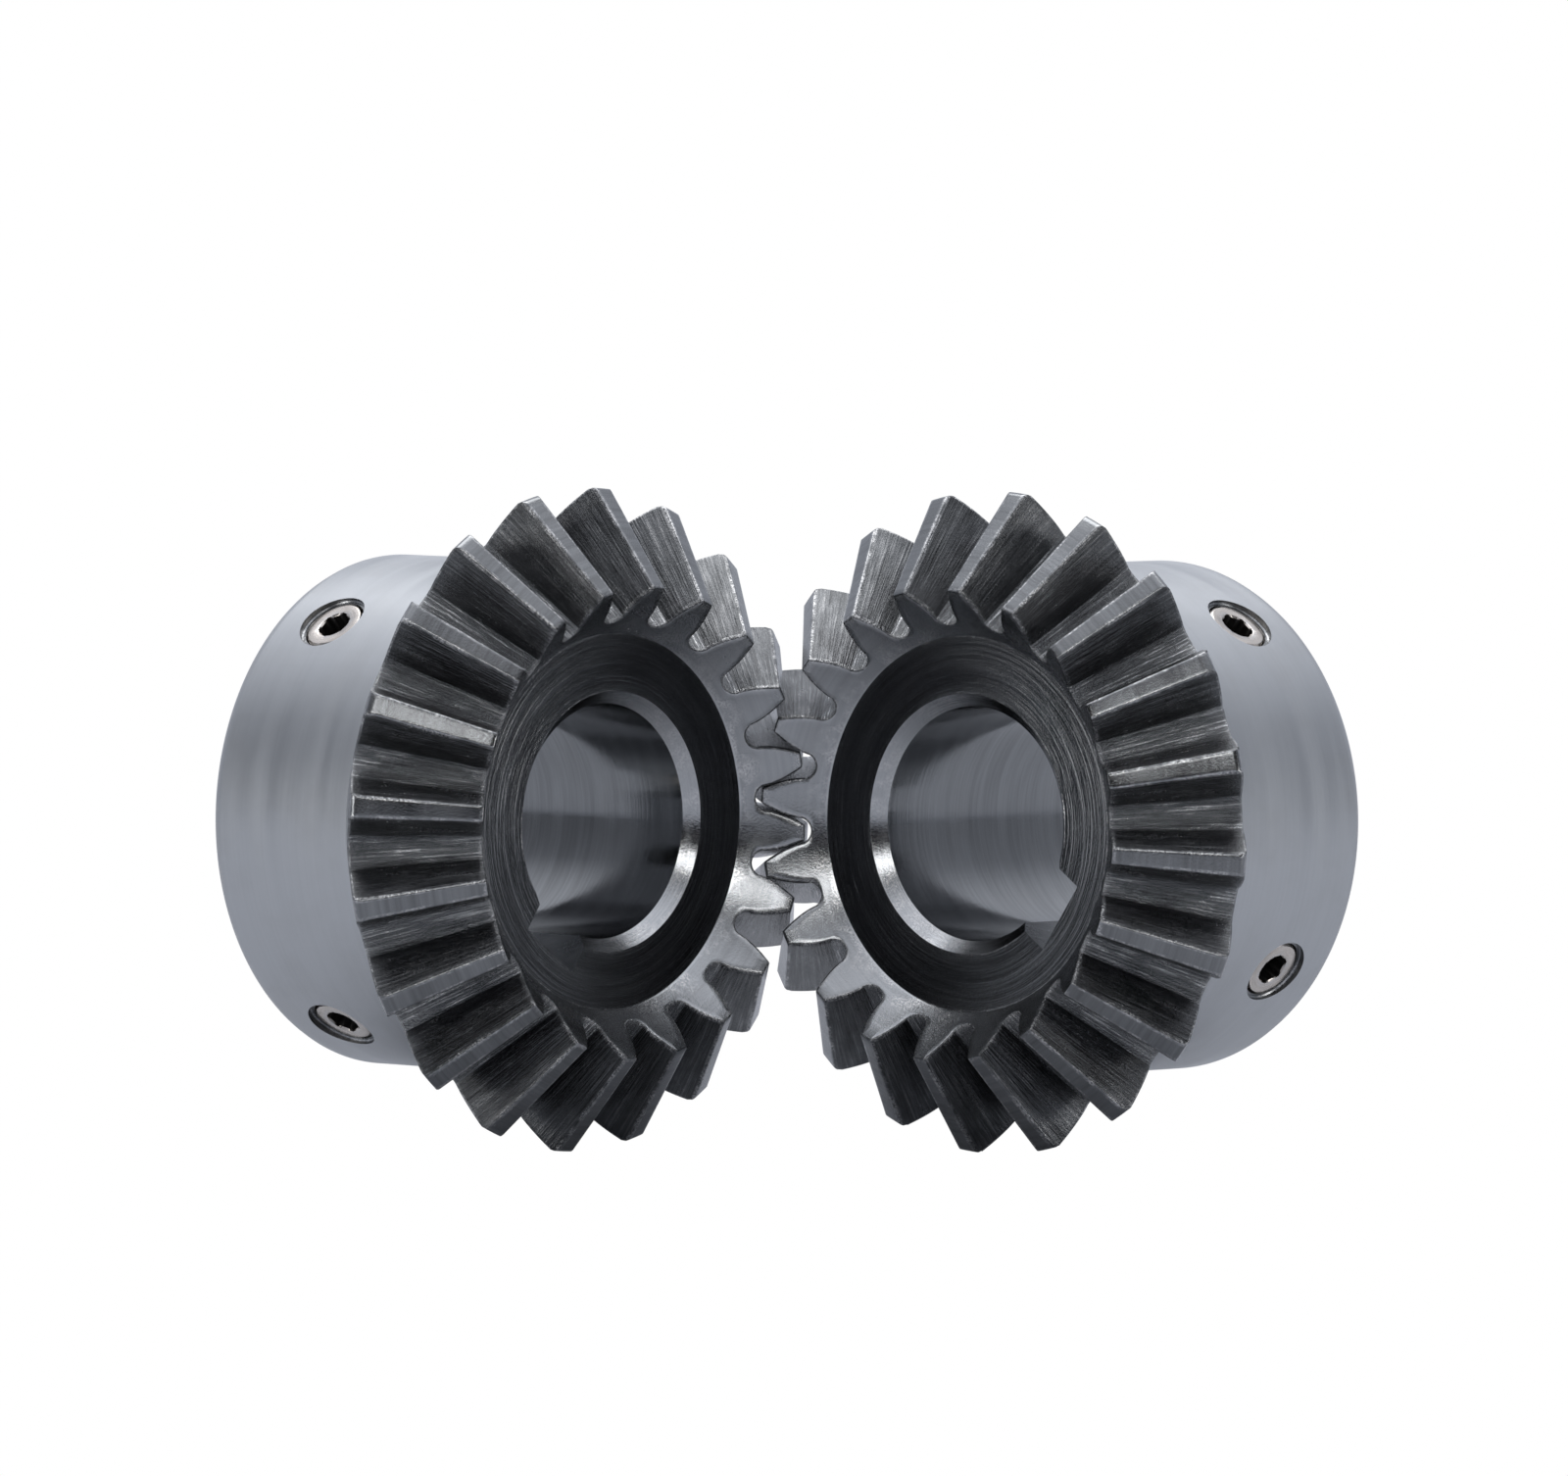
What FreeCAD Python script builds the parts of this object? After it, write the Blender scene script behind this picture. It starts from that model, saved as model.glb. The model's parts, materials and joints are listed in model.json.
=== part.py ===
"""A pair of equal straight bevel (mitre) gears on shafts at 90 degrees, with keyed bores and set screws.

Frame: the origin is the crossing point of the two shaft axes, where both pitch cones have their apex.
The left gear's hub points along +Y, the right gear's along +X, and +Z is up. The teeth meet on the
line between +X and +Y. Each gear is drawn about its own Z axis, with its apex at its own origin.
"""
import FreeCAD, Part
import os
import Sketcher
from FreeCAD import Placement, Rotation, Vector

DIMENSIONS = {
    # teeth
    "gear_module": 2.0,
    "teeth": 20,
    "pressure_angle": 20,
    "addendum": 1.0,              # in modules
    "dedendum": 1.25,             # in modules
    "backlash": 0.16,             # circular, for the pair, at the heel
    "face_width": 8.5,            # along the pitch cone
    "mesh_phase": 4.1,            # how far the meshing tooth sits below the shafts' plane at rest, degrees
    # blank
    "mounting_distance": 35.4,    # from the shaft crossing to the hub's back face
    "hub_radius": 16.4,
    "hub_edge": 0.4,
    "web_radius": 12.1,           # the flat turned face inside the teeth
    "web_step": 0.1,
    "bore_radius": 7.5,
    "bore_edge": 0.8,
    # keyway, for a 5 mm parallel key
    "key_width": 5.0,
    "key_depth": 2.3,
    # M4 set screws with a hexagon socket and a cup point
    "screw_station": 30.7,        # from the shaft crossing, along the shaft
    "screw_radius": 2.0,
    "screw_core": 1.6,
    "screw_pitch": 0.7,
    "screw_span": 6.0,
    "screw_edge": 0.25,
    "thread_start": 0.4,          # from the screw's cup end
    "thread_margin": 1.0,         # the length of a screw without full turns, both ends together
    "screw_sink": 0.35,           # how far the screw's top lies below the hub's surface
    "socket_width": 2.0,
    "socket_depth": 2.0,
    "cup_radius": 1.0,
    "cup_depth": 0.5,
    "tapped_radius": 2.06,
    "mouth_radius": 2.3,          # a shallow counterbore at the hub's surface
    "mouth_depth": 0.45,
    # stand-in for the housing that holds both shafts
    "datum_radius": 1.0,
}

# Angles about each gear's own axis in degrees, counted from the line where the teeth meet.
LEFT_KEY_ANGLE = 125.0
LEFT_OPEN_SCREW_ANGLE = 230.0
RIGHT_KEY_ANGLE = 215.0
RIGHT_OPEN_SCREW_ANGLE = 128.0

# Expressions over the sheet. Both pitch cones open at 45 degrees, so a point of the back cone has
# axial and radial distances that add up to the pitch diameter.
PITCH_DIAMETER = "(Dims.gear_module * Dims.teeth)"
CONE_DISTANCE = f"({PITCH_DIAMETER} * sqrt(0.5))"
TOE_SCALE = f"(1 - Dims.face_width / {CONE_DISTANCE})"
CONE_OFFSET = "(Dims.gear_module * {} * sqrt(0.5))"
BASE_RATIO = "cos(Dims.pressure_angle)"
LOFT_MARGIN = 0.06                # how far the tooth-space loft runs past heel and toe, of the cone distance
SPACE_TOP = 1.7                   # height of the space profile above the pitch cone, in modules
FLANK_MIDDLE = 0.2                # height of the flank arc's middle point above the pitch cone, in modules
FLANK_FOOT = 0.84                 # depth at which the flank ends and the round root begins, in modules
THREAD_CREST = 0.25               # width of the thread's crest, in screw pitches
THREAD_ROOT = 0.625               # where the groove behind a crest is deepest, in screw pitches


def make_document():
    doc = FreeCAD.newDocument("BevelGearPair")
    sheet = doc.addObject("Spreadsheet::Sheet", "Dims")
    for row, (alias, value) in enumerate(DIMENSIONS.items(), start=1):
        sheet.set(f"A{row}", alias)
        sheet.set(f"B{row}", str(value))
        sheet.setAlias(f"B{row}", alias)
    doc.recompute()
    return doc, sheet


def number(sheet, expression):
    """The present value of an expression over the sheet, as a plain number."""
    value = sheet.evalExpression(expression)
    return float(getattr(value, "Value", value))


def origin_plane(body, role):
    return next(item for item in body.Origin.OriginFeatures if item.Role == role)


def new_sketch(body, name, base=("0", "0", "0"), rotation=Rotation()):
    """A sketch on the body's XY plane, moved to base (three expressions) and turned by rotation."""
    sheet = body.Document.getObject("Dims")
    sketch = body.newObject("Sketcher::SketchObject", name)
    sketch.AttachmentSupport = (origin_plane(body, "XY_Plane"), [""])
    sketch.MapMode = "FlatFace"
    sketch.AttachmentOffset = Placement(Vector(*(number(sheet, part) for part in base)), rotation)
    for axis, part in zip("xyz", base):
        if part != "0":
            sketch.setExpression(f"AttachmentOffset.Base.{axis}", part)
    return sketch


def pin_point(sketch, geometry, position, x_rule, y_rule):
    """Hold one point of a sketch at two expressions, measured from the sketch's origin."""
    sheet = sketch.Document.getObject("Dims")
    for kind, rule in (("DistanceX", x_rule), ("DistanceY", y_rule)):
        index = sketch.addConstraint(
            Sketcher.Constraint(kind, -1, 1, geometry, position, number(sheet, rule)))
        sketch.setExpression(f"Constraints[{index}]", rule)


def polygon(sketch, rules):
    """A closed outline with straight sides; each corner is a pair of expressions."""
    sheet = sketch.Document.getObject("Dims")
    corners = [Vector(number(sheet, x), number(sheet, y), 0) for x, y in rules]
    for index, corner in enumerate(corners):
        sketch.addGeometry(Part.LineSegment(corner, corners[(index + 1) % len(corners)]), False)
    for index, (x_rule, y_rule) in enumerate(rules):
        previous = (index - 1) % len(rules)
        sketch.addConstraint(Sketcher.Constraint("Coincident", previous, 2, index, 1))
        pin_point(sketch, index, 1, x_rule, y_rule)


def involute_angle(ratio):
    """The involute function of the angle whose cosine is ratio, in degrees."""
    return f"(tan(acos({ratio})) * 180 / pi - acos({ratio}) / 1 deg)"


def flank_point(height, scale):
    """Expressions for a flank point, height modules above the pitch cone, on the developed back cone.

    The back cone, rolled out flat, is a spur gear whose pitch radius is the cone distance (Tredgold).
    The second value is half the width of the space between two teeth there.
    """
    radius = f"({CONE_DISTANCE} + {height} * Dims.gear_module)"
    half_pitch = f"(90 * Dims.gear_module / (2 * {CONE_DISTANCE}))"
    play = f"(Dims.backlash / (4 * {CONE_DISTANCE}) * 180 / pi)"
    ratio = f"({CONE_DISTANCE} * {BASE_RATIO} / {radius})"
    angle = f"({half_pitch} + {play} - {involute_angle(BASE_RATIO)} + {involute_angle(ratio)})"
    x_rule = f"{scale} * ({radius} * cos({angle}) - {CONE_DISTANCE})"
    return x_rule, f"{scale} * {radius} * sin({angle})"


def tooth_space_sketch(body, name, scale):
    """The outline of one tooth space, across the pitch cone at scale times the cone distance."""
    along = f"{scale} * {PITCH_DIAMETER} / 2"
    sketch = new_sketch(body, name, (along, "0", along), Rotation(Vector(0, 1, 0), 45))
    sheet = body.Document.getObject("Dims")

    def spot(rules, side):
        return Vector(number(sheet, rules[0]), side * number(sheet, rules[1]), 0)

    top = flank_point(SPACE_TOP, scale)
    middle = flank_point(FLANK_MIDDLE, scale)
    foot = flank_point(-FLANK_FOOT, scale)
    root = (f"-{scale} * Dims.dedendum * Dims.gear_module", "0")
    sketch.addGeometry(Part.Arc(spot(top, 1), spot(middle, 1), spot(foot, 1)), False)
    sketch.addGeometry(Part.Arc(spot(foot, 1), spot(root, 1), spot(foot, -1)), False)
    sketch.addGeometry(Part.Arc(spot(foot, -1), spot(middle, -1), spot(top, -1)), False)
    sketch.addGeometry(Part.LineSegment(spot(top, -1), spot(top, 1)), False)
    # A sketch keeps every arc counter-clockwise, so its start may be either end of the drawn one.
    for arc, rules, side in ((0, middle, 1), (1, root, 1), (2, middle, -1)):
        point = sketch.addGeometry(Part.Point(spot(rules, side)), True)
        pin_point(sketch, point, 1, rules[0], f"{side} * {rules[1]}")
        sketch.addConstraint(Sketcher.Constraint("PointOnObject", point, 1, arc))
    corners = ((top, 1, (0, 3)), (foot, 1, (0, 1)), (foot, -1, (1, 2)), (top, -1, (2, 3)))
    for rules, side, edges in corners:
        place = spot(rules, side)
        ends = [(edge, end) for edge in edges for end in (1, 2)
                if sketch.getPoint(edge, end).distanceToPoint(place) < 1e-6]
        sketch.addConstraint(Sketcher.Constraint("Coincident", *ends[0], *ends[1]))
        pin_point(sketch, *ends[0], rules[0], f"{side} * {rules[1]}")
    return sketch


def add_revolution(body, name, rules):
    """Turn an outline of (radius, height) corners about the body's Z axis."""
    sketch = new_sketch(body, f"{name}Outline", rotation=Rotation(Vector(1, 0, 0), 90))
    polygon(sketch, rules)
    revolution = body.newObject("PartDesign::Revolution", name)
    revolution.Profile = sketch
    revolution.ReferenceAxis = (sketch, ["V_Axis"])
    revolution.Angle = 360
    return revolution


def gear_outline():
    """Half section of the blank, as (radius, distance from the apex)."""
    addendum = CONE_OFFSET.format("Dims.addendum")
    heel_radius = f"({PITCH_DIAMETER} / 2 + {addendum})"
    heel_height = f"({PITCH_DIAMETER} / 2 - {addendum})"
    face_height = f"({TOE_SCALE} * {PITCH_DIAMETER} - Dims.web_radius)"
    bore_mouth = "(Dims.bore_radius + Dims.bore_edge)"
    return [
        ("Dims.bore_radius", f"{face_height} + Dims.web_step + Dims.bore_edge"),
        (bore_mouth, f"{face_height} + Dims.web_step"),
        ("Dims.web_radius", f"{face_height} + Dims.web_step"),
        ("Dims.web_radius", face_height),
        (f"{TOE_SCALE} * {heel_radius}", f"{TOE_SCALE} * {heel_height}"),
        (heel_radius, heel_height),
        ("Dims.hub_radius", f"{PITCH_DIAMETER} - Dims.hub_radius"),
        ("Dims.hub_radius", "Dims.mounting_distance - Dims.hub_edge"),
        ("Dims.hub_radius - Dims.hub_edge", "Dims.mounting_distance"),
        (bore_mouth, "Dims.mounting_distance"),
        ("Dims.bore_radius", "Dims.mounting_distance - Dims.bore_edge"),
    ]


def add_teeth(body):
    """Cut one tooth space along the pitch cone and repeat it round the gear."""
    heel = tooth_space_sketch(body, "SpaceAtHeel", f"(1 + {LOFT_MARGIN})")
    toe = tooth_space_sketch(body, "SpaceAtToe", f"({TOE_SCALE} - {LOFT_MARGIN})")
    space = body.newObject("PartDesign::SubtractiveLoft", "ToothSpace")
    space.Profile = heel
    space.Sections = [toe]
    space.Ruled = True
    body.Document.recompute()
    pattern = body.newObject("PartDesign::PolarPattern", "ToothSpaces")
    pattern.Originals = [space]
    pattern.Axis = (origin_plane(body, "Z_Axis"), [""])
    pattern.Angle = 360
    pattern.Occurrences = DIMENSIONS["teeth"]
    pattern.setExpression("Occurrences", "Dims.teeth")
    body.Tip = pattern
    body.Document.recompute()


def add_keyway(body, angle):
    sketch = new_sketch(body, "KeywayOutline", rotation=Rotation(Vector(0, 0, 1), angle))
    outer = "Dims.bore_radius + Dims.key_depth"
    polygon(sketch, [
        ("0", "-Dims.key_width / 2"),
        (outer, "-Dims.key_width / 2"),
        (outer, "Dims.key_width / 2"),
        ("0", "Dims.key_width / 2"),
    ])
    keyway = body.newObject("PartDesign::Pocket", "Keyway")
    keyway.Profile = sketch
    keyway.Type = "ThroughAll"
    keyway.Reversed = True
    body.Document.recompute()


def add_screw_hole(body, name, angle):
    """Turn a radial hole about its own axis, from outside the hub into the bore, with a counterbored mouth."""
    base = (f"Dims.hub_radius * cos({angle})", f"Dims.hub_radius * sin({angle})", "Dims.screw_station")
    outward = Rotation(Vector(0, 0, 1), angle).multVec(Vector(1, 0, 0))
    axial = Vector(0, 0, 1)
    sketch = new_sketch(body, f"{name}Outline", base, Rotation(axial, outward, axial.cross(outward), "XYZ"))
    polygon(sketch, [
        ("0", "-Dims.hub_radius + Dims.bore_radius / 2"),
        ("Dims.tapped_radius", "-Dims.hub_radius + Dims.bore_radius / 2"),
        ("Dims.tapped_radius", "-Dims.mouth_depth"),
        ("Dims.mouth_radius", "-Dims.mouth_depth"),
        ("Dims.mouth_radius", "Dims.mouth_depth"),
        ("0", "Dims.mouth_depth"),
    ])
    groove = body.newObject("PartDesign::Groove", name)
    groove.Profile = sketch
    groove.ReferenceAxis = (sketch, ["V_Axis"])
    groove.Angle = 360
    body.Document.recompute()


def make_gear(doc, label, key_angle, open_screw_angle, placement):
    body = doc.addObject("PartDesign::Body", label)
    body.Label = label
    add_revolution(body, "Blank", gear_outline())
    doc.recompute()
    volumes = [body.Shape.Volume]
    add_teeth(body)
    volumes.append(body.Shape.Volume)
    add_keyway(body, key_angle)
    volumes.append(body.Shape.Volume)
    for name, angle in (("KeyScrewHole", key_angle), ("OpenScrewHole", open_screw_angle)):
        add_screw_hole(body, name, angle)
        volumes.append(body.Shape.Volume)
    if any(later >= earlier for earlier, later in zip(volumes, volumes[1:])):
        raise RuntimeError(f"{label}: a cut removed nothing, volumes {volumes}")
    body.Placement = placement
    return body


def screw_outline(sheet):
    """Half section of the set screw, as (radius, height), with ring grooves for its thread."""
    outline = [
        ("0", "Dims.cup_depth"),
        ("Dims.cup_radius", "0"),
        ("Dims.screw_core", "0"),
    ]
    turns = int(number(sheet, "(Dims.screw_span - Dims.thread_margin) / Dims.screw_pitch"))
    for turn in range(turns):
        start = f"Dims.thread_start + {turn} * Dims.screw_pitch"
        outline.append(("Dims.screw_radius", start))
        outline.append(("Dims.screw_radius", f"{start} + Dims.screw_pitch * {THREAD_CREST}"))
        outline.append(("Dims.screw_core", f"{start} + Dims.screw_pitch * {THREAD_ROOT}"))
    outline += [
        ("Dims.screw_radius", f"Dims.thread_start + {turns} * Dims.screw_pitch"),
        ("Dims.screw_radius", "Dims.screw_span - Dims.screw_edge"),
        ("Dims.screw_radius - Dims.screw_edge", "Dims.screw_span"),
        ("0", "Dims.screw_span"),
    ]
    return outline


def make_screw(doc, sheet, label, placement):
    """A headless screw along its own Z axis, its socket at the top."""
    body = doc.addObject("PartDesign::Body", label)
    body.Label = label
    add_revolution(body, "Shank", screw_outline(sheet))
    doc.recompute()
    solid_volume = body.Shape.Volume
    sketch = new_sketch(body, "SocketOutline", ("0", "0", "Dims.screw_span"))
    corner = "Dims.socket_width / sqrt(3)"
    polygon(sketch, [(f"{corner} * cos({60 * side})", f"{corner} * sin({60 * side})") for side in range(6)])
    socket = body.newObject("PartDesign::Pocket", "Socket")
    socket.Profile = sketch
    socket.setExpression("Length", "Dims.socket_depth")
    doc.recompute()
    if body.Shape.Volume >= solid_volume:
        raise RuntimeError(f"{label}: the socket cut nothing")
    body.Placement = placement
    return body


def build():
    doc, sheet = make_document()
    phase = number(sheet, "Dims.mesh_phase")
    half_pitch = 180 / number(sheet, "Dims.teeth")
    screw_seat = number(sheet, "Dims.hub_radius - Dims.screw_sink - Dims.screw_span")
    station = number(sheet, "Dims.screw_station")
    # The left gear meets the right gear's tooth space with a tooth, so it turns half a tooth further.
    gears = (
        ("left", Rotation(Vector(1, 0, 0), -90), phase + half_pitch, LEFT_KEY_ANGLE, LEFT_OPEN_SCREW_ANGLE),
        ("right", Rotation(Vector(1, 1, 1), 120), -phase, RIGHT_KEY_ANGLE, RIGHT_OPEN_SCREW_ANGLE),
    )
    parts = []
    for side, lay_down, turn, key_angle, open_angle in gears:
        gear_place = Placement(Vector(0, 0, 0), lay_down * Rotation(Vector(0, 0, 1), turn))
        parts.append(make_gear(doc, f"{side}_gear", key_angle - turn, open_angle - turn, gear_place))
        for role, angle in (("key", key_angle), ("open", open_angle)):
            radial = lay_down * Rotation(Vector(0, 0, 1), angle)
            seat = radial.multVec(Vector(screw_seat, 0, station))
            place = Placement(seat, radial * Rotation(Vector(0, 1, 0), 90))
            parts.append(make_screw(doc, sheet, f"{side}_{role}_set_screw", place))
    datum = doc.addObject("Part::Sphere", "shaft_crossing_datum")
    datum.Label = "shaft_crossing_datum"
    datum.setExpression("Radius", "Dims.datum_radius")
    parts.append(datum)
    doc.recompute()
    return doc, parts


def check(doc, parts):
    for item in doc.Objects:
        if "Invalid" in item.State or "Error" in item.State:
            raise RuntimeError(f"{item.Label} failed to compute: {item.State}")
    for item in parts:
        if item.Shape.isNull() or not item.Shape.isValid() or len(item.Shape.Solids) != 1:
            raise RuntimeError(f"{item.Label} is not one valid solid")


def export(parts):
    os.makedirs("parts", exist_ok=True)
    for item in parts:
        item.Shape.exportStep(f"parts/{item.Label}.step")
        box = item.Shape.BoundBox
        sides = [round(side, 2) for side in (box.XLength, box.YLength, box.ZLength)]
        print(item.Label, "volume", round(item.Shape.Volume, 1), "sides", sides)


document, sub_parts = build()
check(document, sub_parts)
export(sub_parts)
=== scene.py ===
"""Two equal straight bevel gears in mesh, with set screws in their hubs, on a pale floor.

Each piece is modelled in millimetres about its own Z axis and then placed in the frame in metres.
A gear's own origin is the apex of its pitch cone. On a cone across the teeth, the radius and the
distance from the apex add up to one number, the cone sum, which is the pitch diameter at the heel.
The height of a point there is its radius divided by the cone sum.
"""
import json
import math

import bmesh
import bpy
import numpy as np
from mathutils import Matrix, Vector


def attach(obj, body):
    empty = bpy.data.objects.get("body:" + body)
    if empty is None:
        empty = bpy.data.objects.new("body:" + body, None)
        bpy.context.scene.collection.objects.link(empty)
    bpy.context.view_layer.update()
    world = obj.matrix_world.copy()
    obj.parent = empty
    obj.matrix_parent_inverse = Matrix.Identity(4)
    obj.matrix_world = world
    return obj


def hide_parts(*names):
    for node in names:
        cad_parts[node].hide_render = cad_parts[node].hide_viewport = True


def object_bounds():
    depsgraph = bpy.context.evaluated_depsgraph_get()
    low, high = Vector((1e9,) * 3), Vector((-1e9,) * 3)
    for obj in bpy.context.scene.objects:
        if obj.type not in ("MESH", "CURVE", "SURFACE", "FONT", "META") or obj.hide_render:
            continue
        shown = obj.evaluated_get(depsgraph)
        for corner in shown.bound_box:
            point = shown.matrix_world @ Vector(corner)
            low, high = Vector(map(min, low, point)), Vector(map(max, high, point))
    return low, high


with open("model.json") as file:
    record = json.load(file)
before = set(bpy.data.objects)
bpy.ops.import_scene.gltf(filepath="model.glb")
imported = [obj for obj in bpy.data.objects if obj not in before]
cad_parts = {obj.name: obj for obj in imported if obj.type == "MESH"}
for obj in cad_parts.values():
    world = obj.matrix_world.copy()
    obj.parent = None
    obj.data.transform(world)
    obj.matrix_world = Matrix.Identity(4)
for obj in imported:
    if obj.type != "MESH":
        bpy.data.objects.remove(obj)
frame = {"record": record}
cad_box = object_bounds()

MM = 0.001

# Gear geometry in millimetres and degrees
MODULE = 2.0
TEETH = 20
PRESSURE_ANGLE = 20.0
BACKLASH = 0.16
FACE_WIDTH = 8.5
DEDENDUM = 2.5
MESH_PHASE = 4.1
WEB_RADIUS = 12.1
WEB_STEP = 0.1
HUB_RADIUS = 16.4
HUB_EDGE = 0.4
BORE_EDGE = 0.8
KEY_WIDTH = 5.0
KEYWAY_FLOOR = 9.8
FLANK_FOOT = 1.68
EDGE_ROUND = 0.13
HEEL_TIP_ROUND = 0.6
PITCH_ANGLE = 360 / TEETH

HEEL_SUM = MODULE * TEETH
CONE_DISTANCE = HEEL_SUM * math.sqrt(0.5)
TOE_SUM = HEEL_SUM * (1 - FACE_WIDTH / CONE_DISTANCE)
TIP_HEIGHT = (HEEL_SUM / 2 + MODULE * math.sqrt(0.5)) / HEEL_SUM
WEB_PLANE = TOE_SUM - WEB_RADIUS

mounts = {mount["name"]: mount for mount in frame["record"]["mounts"]}
BORE_RADIUS = mounts["left_bore"]["dims"]["r_mm"]
BACK_PLANE = mounts["left_hub_face"]["pos_m"][1] / MM

# Set screws and their holes in millimetres
SCREW_STATION = 30.7
SCREW_RADIUS = 2.0
SCREW_CORE = 1.62
SCREW_PITCH = 0.7
SCREW_SPAN = 6.0
SCREW_SINK = 0.35
SOCKET_WIDTH = 2.0
SOCKET_DEPTH = 2.0
HOLE_RADIUS = 2.06
MOUTH_RADIUS = 2.3
MOUTH_DEPTH = 0.45

# How each gear's own axes lie in the frame, the middle of one tooth space, and its two screws' angles
GEARS = {
    "left": {
        "axes": Matrix(((1, 0, 0), (0, 0, 1), (0, -1, 0))),
        "space": MESH_PHASE + PITCH_ANGLE / 2,
        "screws": {"key": 125.0, "open": 230.0},
    },
    "right": {
        "axes": Matrix(((0, 0, 1), (1, 0, 0), (0, 1, 0))),
        "space": -MESH_PHASE,
        "screws": {"key": 215.0, "open": 128.0},
    },
}

ZONES = ("hub", "flank", "root", "land", "toe", "web", "mouth", "bore", "cut", "back")
HUB, FLANK, ROOT, LAND, TOE, WEB, MOUTH, BORE, CUT, BACK = range(len(ZONES))


# ---------------------------------------------------------------- tooth outline

ROOT_POINTS = 7
CORNER_POINTS = 4
FLANK_SAMPLES = 90        # points tried along a flank
FLANK_STRIDE = 6          # of which one in six is kept
FLANK_OVERRUN = 0.4       # how far the tried points run past the tip
CORNER_GAP = 4            # tried points left out beside the tip's rounded corner
LAND_EDGE = 0.45          # where a land's worn edge ends, as a share of the way to the tooth's middle
LAND_STRIPS = 4           # the outer two strips of the corner and the land's own two


def space_point(lift):
    """(across, up) of a tooth space's flank at the heel, lift above the pitch cone, in millimetres."""
    radius = CONE_DISTANCE + lift
    pressure = math.radians(PRESSURE_ANGLE)
    slope = math.acos(CONE_DISTANCE * math.cos(pressure) / radius)
    half_space = (math.pi * MODULE + BACKLASH) / (4 * CONE_DISTANCE)
    angle = half_space + math.tan(slope) - slope - math.tan(pressure) + pressure
    return np.array([radius * math.sin(angle), radius * math.cos(angle) - CONE_DISTANCE])


def to_cone(points):
    """Turn (across, up) points into (angle, height)."""
    across, up = points[:, 0], points[:, 1]
    outward = HEEL_SUM / 2 + up * math.sqrt(0.5)
    axial = HEEL_SUM / 2 - up * math.sqrt(0.5)
    radius = np.hypot(outward, across)
    return np.stack([np.arctan2(across, outward), radius / (radius + axial)], 1)


def root_arc(foot, count):
    """The arc from the bottom of the tooth space to the foot of the flank."""
    rise = foot[1] + DEDENDUM
    radius = (foot[0] ** 2 + rise ** 2) / (2 * rise)
    end = math.atan2(foot[0], radius - rise)
    turns = np.linspace(0, end, count)
    return np.stack([radius * np.sin(turns), radius * (1 - np.cos(turns)) - DEDENDUM], 1)


def rounded_corner(before, corner, after, count):
    """A small curve in place of a corner between two points of (angle, height)."""
    metric = HEEL_SUM * np.array([corner[1], math.sqrt(2)])
    ends = []
    for point in (before, after):
        away = point - corner
        ends.append(corner + away * EDGE_ROUND / np.linalg.norm(away * metric))
    steps = np.linspace(0, 1, count)[:, None]
    return (1 - steps) ** 2 * ends[0] + 2 * steps * (1 - steps) * corner + steps ** 2 * ends[1]


def pitch_outline():
    """One pitch of the outline, tooth middle to tooth middle, as (angle, height), with zones and wear."""
    foot = space_point(-FLANK_FOOT)
    lifts = np.linspace(-FLANK_FOOT, MODULE + FLANK_OVERRUN, FLANK_SAMPLES)
    flank = to_cone(np.array([space_point(lift) for lift in lifts]))
    below = flank[flank[:, 1] < TIP_HEIGHT]
    above = flank[len(below)]
    share = (TIP_HEIGHT - below[-1, 1]) / (above[1] - below[-1, 1])
    tip = below[-1] + share * (above - below[-1])
    flank = below[:-CORNER_GAP:FLANK_STRIDE]
    half_pitch = math.radians(PITCH_ANGLE / 2)
    land_inner = np.array([tip[0] + (half_pitch - tip[0]) * LAND_EDGE, TIP_HEIGHT])
    corner = rounded_corner(flank[-1], tip, land_inner, CORNER_POINTS)
    floor = to_cone(root_arc(foot, ROOT_POINTS))[:-1]
    half = np.vstack([floor, flank, corner, land_inner[None], [[half_pitch, TIP_HEIGHT]]])
    wear = np.concatenate([np.zeros(len(floor) + len(flank)), np.ones(len(corner)), [0.0, 0.0]])
    flank_strips = len(half) - 1 - len(floor) - LAND_STRIPS
    zones = [ROOT] * len(floor) + [FLANK] * flank_strips + [LAND] * LAND_STRIPS
    outline = np.vstack([half[:0:-1] * (-1, 1), half])[:-1]
    return outline, np.array(zones[::-1] + zones), np.concatenate([wear[:0:-1], wear])[:-1]


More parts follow.
